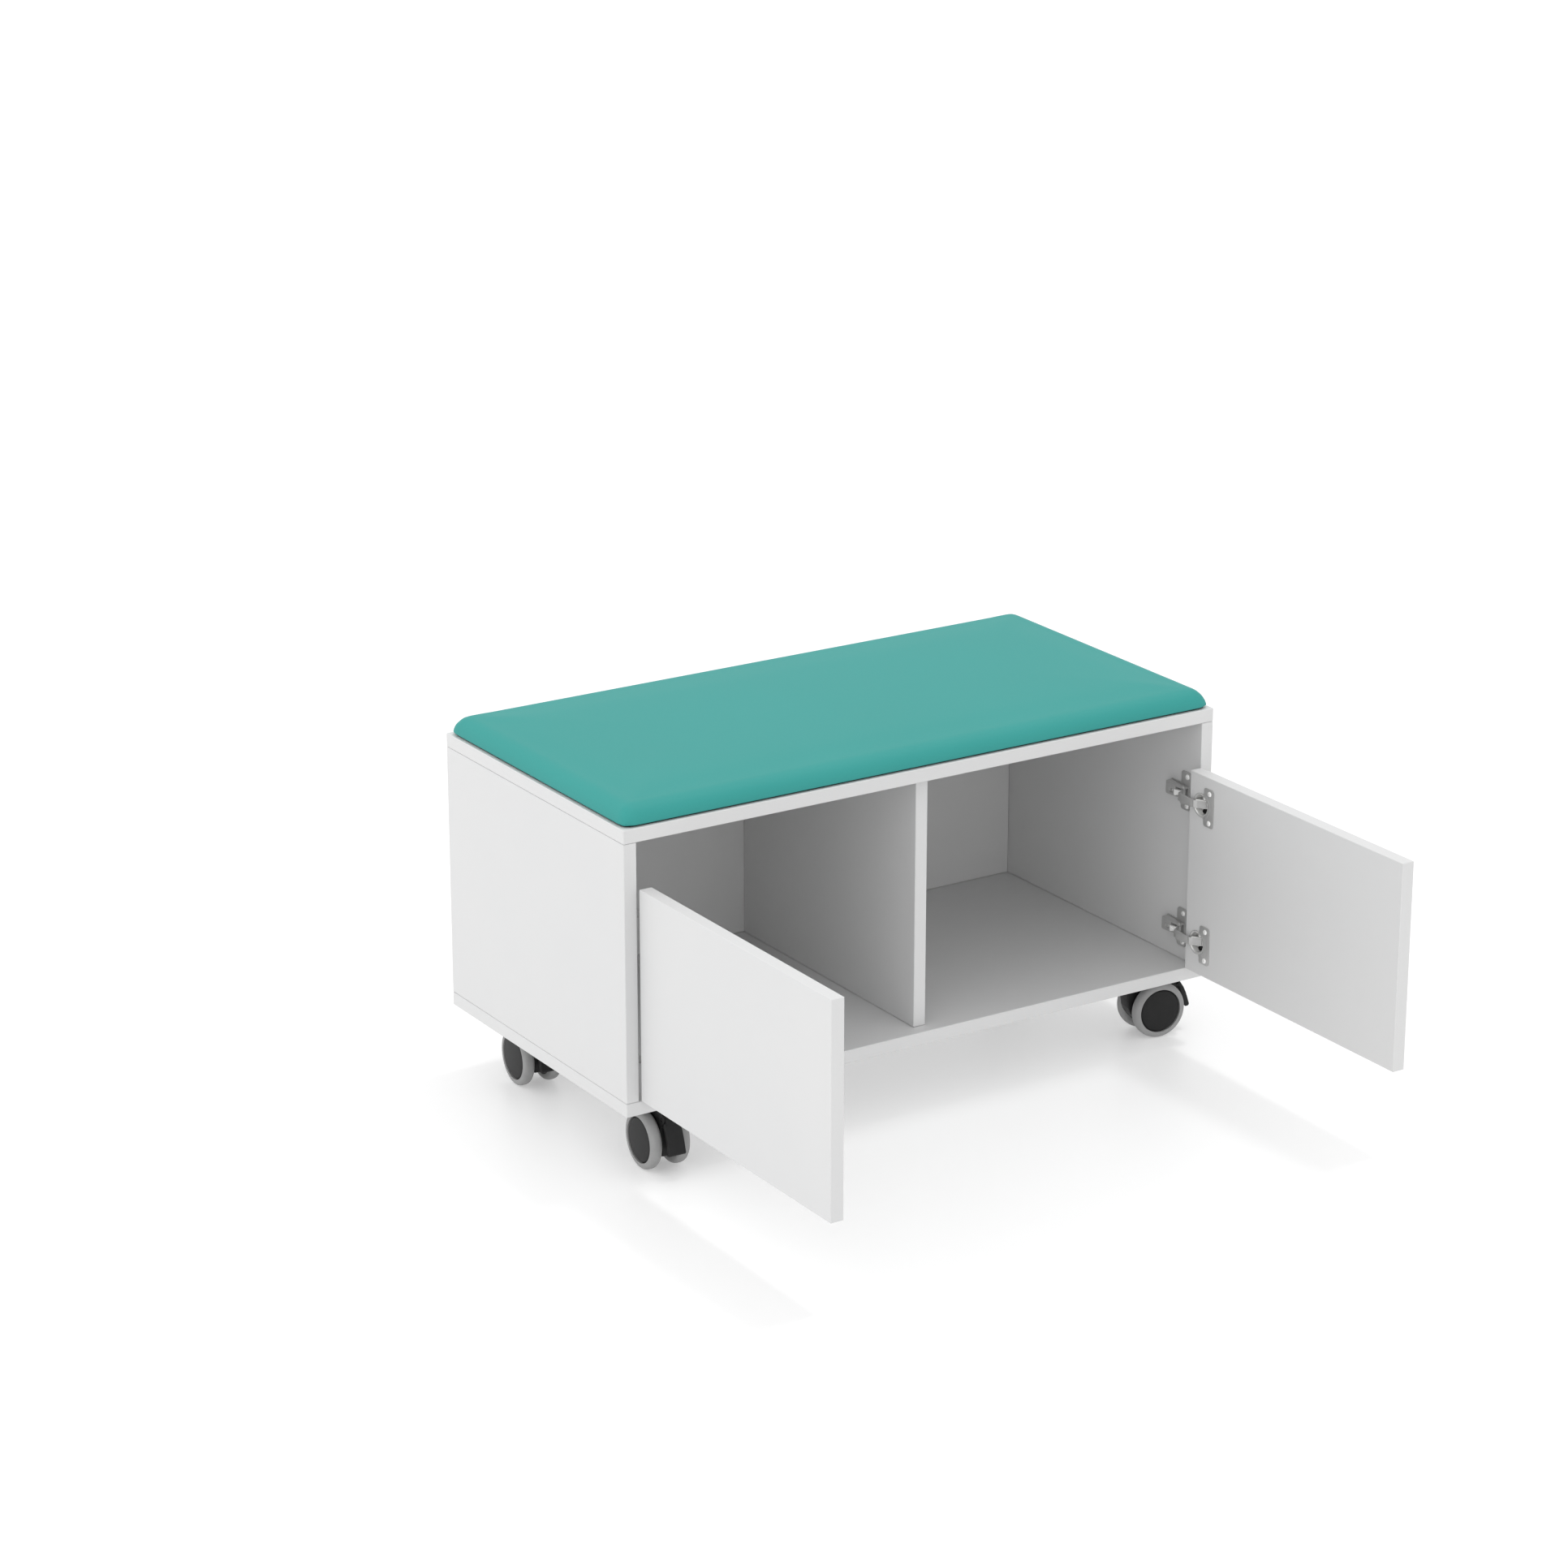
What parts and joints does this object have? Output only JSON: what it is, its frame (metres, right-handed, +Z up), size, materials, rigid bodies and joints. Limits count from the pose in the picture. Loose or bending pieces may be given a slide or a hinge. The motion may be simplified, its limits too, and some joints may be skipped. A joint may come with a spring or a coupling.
{
  "type": "mobile storage bench",
  "caption": "Low white two-door storage bench on swivelling twin-wheel castors with brake levers, open compartments, concealed door hinges and a flat padded teal seat on top.",
  "frame": {"origin": "floor level, at the centre of the bounding box with both doors open at 90 degrees; the carcass middle is 5.5 mm to -X of it, because one brake lever stands out past the right side panel", "axes": "+Z up, -Y towards the doors and front, +X to the right seen from the front"},
  "size_m": [0.811, 0.784, 0.4418],
  "materials": {
    "white_board": "satin white melamine-faced board with matching edge banding",
    "teal_upholstery": "smooth matt upholstery, teal",
    "seat_board": "dark covered board under the pad",
    "hinge_steel": "nickel-plated pressed steel",
    "zinc_plate": "zinc-plated steel",
    "black_nylon": "moulded black nylon, fine satin grain",
    "grey_tyre": "grey non-marking soft tread"
  },
  "bodies": {
    "carcass": {"bottom_panel": "white_board", "top_panel": "white_board", "left_side_panel": "white_board", "right_side_panel": "white_board", "back_panel": "white_board", "divider_panel": "white_board", "seat_base_board": "seat_board", "seat_cushion": "teal_upholstery", "left_upper_hinge_plate": "hinge_steel", "left_upper_hinge_arm": "hinge_steel", "left_lower_hinge_plate": "hinge_steel", "left_lower_hinge_arm": "hinge_steel", "right_upper_hinge_plate": "hinge_steel", "right_upper_hinge_arm": "hinge_steel", "right_lower_hinge_plate": "hinge_steel", "right_lower_hinge_arm": "hinge_steel", "castor_front_left_plate": "zinc_plate", "castor_back_left_plate": "zinc_plate", "castor_front_right_plate": "zinc_plate", "castor_back_right_plate": "zinc_plate"},
    "left_door": {"left_door": "white_board", "left_upper_hinge_cup": "hinge_steel", "left_lower_hinge_cup": "hinge_steel"},
    "right_door": {"right_door": "white_board", "right_upper_hinge_cup": "hinge_steel", "right_lower_hinge_cup": "hinge_steel"},
    "left_upper_hinge_link": {"left_upper_hinge_link": "hinge_steel"},
    "left_lower_hinge_link": {"left_lower_hinge_link": "hinge_steel"},
    "right_upper_hinge_link": {"right_upper_hinge_link": "hinge_steel"},
    "right_lower_hinge_link": {"right_lower_hinge_link": "hinge_steel"},
    "castor_front_left_swivel": {"castor_front_left_housing": "black_nylon", "castor_front_left_axle": "zinc_plate"},
    "castor_front_left_wheel_a": {"castor_front_left_hub_a": "black_nylon", "castor_front_left_tyre_a": "grey_tyre"},
    "castor_front_left_wheel_b": {"castor_front_left_hub_b": "black_nylon", "castor_front_left_tyre_b": "grey_tyre"},
    "castor_front_left_lever": {"castor_front_left_brake_lever": "black_nylon"},
    "castor_back_left_swivel": {"castor_back_left_housing": "black_nylon", "castor_back_left_axle": "zinc_plate"},
    "castor_back_left_wheel_a": {"castor_back_left_hub_a": "black_nylon", "castor_back_left_tyre_a": "grey_tyre"},
    "castor_back_left_wheel_b": {"castor_back_left_hub_b": "black_nylon", "castor_back_left_tyre_b": "grey_tyre"},
    "castor_back_left_lever": {"castor_back_left_brake_lever": "black_nylon"},
    "castor_front_right_swivel": {"castor_front_right_housing": "black_nylon", "castor_front_right_axle": "zinc_plate"},
    "castor_front_right_wheel_a": {"castor_front_right_hub_a": "black_nylon", "castor_front_right_tyre_a": "grey_tyre"},
    "castor_front_right_wheel_b": {"castor_front_right_hub_b": "black_nylon", "castor_front_right_tyre_b": "grey_tyre"},
    "castor_front_right_lever": {"castor_front_right_brake_lever": "black_nylon"},
    "castor_back_right_swivel": {"castor_back_right_housing": "black_nylon", "castor_back_right_axle": "zinc_plate"},
    "castor_back_right_wheel_a": {"castor_back_right_hub_a": "black_nylon", "castor_back_right_tyre_a": "grey_tyre"},
    "castor_back_right_wheel_b": {"castor_back_right_hub_b": "black_nylon", "castor_back_right_tyre_b": "grey_tyre"},
    "castor_back_right_lever": {"castor_back_right_brake_lever": "black_nylon"}
  },
  "joints": [
    {"name": "door_left_swing", "type": "hinge", "parent": "carcass", "child": "left_door", "pos_m": [-0.38976, -0.00925, 0.2232], "axis": [0, 0, 1], "range_deg": [-5, 90]},
    {"name": "door_right_swing", "type": "hinge", "parent": "carcass", "child": "right_door", "pos_m": [0.37874, -0.00925, 0.2232], "axis": [0, 0, -1], "range_deg": [-5, 90]},
    {"name": "hinge_link_left_upper", "type": "hinge", "parent": "carcass", "child": "left_upper_hinge_link", "pos_m": [-0.3815, 0.0135, 0.3102], "axis": [0, 0, 1], "range_deg": [-5, 90]},
    {"name": "hinge_link_left_lower", "type": "hinge", "parent": "carcass", "child": "left_lower_hinge_link", "pos_m": [-0.3815, 0.0135, 0.1387], "axis": [0, 0, 1], "range_deg": [-5, 90]},
    {"name": "hinge_link_right_upper", "type": "hinge", "parent": "carcass", "child": "right_upper_hinge_link", "pos_m": [0.3705, 0.0135, 0.3102], "axis": [0, 0, -1], "range_deg": [-5, 90]},
    {"name": "hinge_link_right_lower", "type": "hinge", "parent": "carcass", "child": "right_lower_hinge_link", "pos_m": [0.3705, 0.0135, 0.1387], "axis": [0, 0, -1], "range_deg": [-5, 90]},
    {"name": "swivel_front_left", "type": "hinge", "parent": "carcass", "child": "castor_front_left_swivel", "pos_m": [-0.3447, 0.0493, 0.0817], "axis": [0, 0, 1], "continuous": true},
    {"name": "wheel_front_left_a", "type": "hinge", "parent": "castor_front_left_swivel", "child": "castor_front_left_wheel_a", "pos_m": [-0.3458, 0.02643, 0.0342], "axis": [0.9988, -0.048, 0], "continuous": true},
    {"name": "wheel_front_left_b", "type": "hinge", "parent": "castor_front_left_swivel", "child": "castor_front_left_wheel_b", "pos_m": [-0.3458, 0.02643, 0.0342], "axis": [0.9988, -0.048, 0], "continuous": true},
    {"name": "lever_front_left", "type": "hinge", "parent": "castor_front_left_swivel", "child": "castor_front_left_lever", "pos_m": [-0.3471, -0.00054, 0.0652], "axis": [0.9988, -0.048, 0], "range_deg": [0, 15]},
    {"name": "swivel_back_left", "type": "hinge", "parent": "carcass", "child": "castor_back_left_swivel", "pos_m": [-0.3447, 0.3347, 0.0817], "axis": [0, 0, 1], "continuous": true},
    {"name": "wheel_back_left_a", "type": "hinge", "parent": "castor_back_left_swivel", "child": "castor_back_left_wheel_a", "pos_m": [-0.3463, 0.31186, 0.0342], "axis": [0.9976, -0.0698, 0], "continuous": true},
    {"name": "wheel_back_left_b", "type": "hinge", "parent": "castor_back_left_swivel", "child": "castor_back_left_wheel_b", "pos_m": [-0.3463, 0.31186, 0.0342], "axis": [0.9976, -0.0698, 0], "continuous": true},
    {"name": "lever_back_left", "type": "hinge", "parent": "castor_back_left_swivel", "child": "castor_back_left_lever", "pos_m": [-0.34819, 0.28492, 0.0652], "axis": [0.9976, -0.0698, 0], "range_deg": [0, 15]},
    {"name": "swivel_front_right", "type": "hinge", "parent": "carcass", "child": "castor_front_right_swivel", "pos_m": [0.3337, 0.0493, 0.0817], "axis": [0, 0, 1], "continuous": true},
    {"name": "wheel_front_right_a", "type": "hinge", "parent": "castor_front_right_swivel", "child": "castor_front_right_wheel_a", "pos_m": [0.35642, 0.04651, 0.0342], "axis": [0.1219, 0.9925, 0], "continuous": true},
    {"name": "wheel_front_right_b", "type": "hinge", "parent": "castor_front_right_swivel", "child": "castor_front_right_wheel_b", "pos_m": [0.35642, 0.04651, 0.0342], "axis": [0.1219, 0.9925, 0], "continuous": true},
    {"name": "lever_front_right", "type": "hinge", "parent": "castor_front_right_swivel", "child": "castor_front_right_lever", "pos_m": [0.38322, 0.04322, 0.0652], "axis": [0.1219, 0.9925, 0], "range_deg": [0, 15]},
    {"name": "swivel_back_right", "type": "hinge", "parent": "carcass", "child": "castor_back_right_swivel", "pos_m": [0.3337, 0.3347, 0.0817], "axis": [0, 0, 1], "continuous": true},
    {"name": "wheel_back_right_a", "type": "hinge", "parent": "castor_back_right_swivel", "child": "castor_back_right_wheel_a", "pos_m": [0.35445, 0.34438, 0.0342], "axis": [-0.4226, 0.9063, 0], "continuous": true},
    {"name": "wheel_back_right_b", "type": "hinge", "parent": "castor_back_right_swivel", "child": "castor_back_right_wheel_b", "pos_m": [0.35445, 0.34438, 0.0342], "axis": [-0.4226, 0.9063, 0], "continuous": true},
    {"name": "lever_back_right", "type": "hinge", "parent": "castor_back_right_swivel", "child": "castor_back_right_lever", "pos_m": [0.37892, 0.35579, 0.0652], "axis": [-0.4226, 0.9063, 0], "range_deg": [0, 15]}
  ],
  "couplings": [
    {"joint": "hinge_link_left_upper", "follows": "door_left_swing", "ratio": 1},
    {"joint": "hinge_link_left_lower", "follows": "door_left_swing", "ratio": 1},
    {"joint": "hinge_link_right_upper", "follows": "door_right_swing", "ratio": 1},
    {"joint": "hinge_link_right_lower", "follows": "door_right_swing", "ratio": 1}
  ]
}
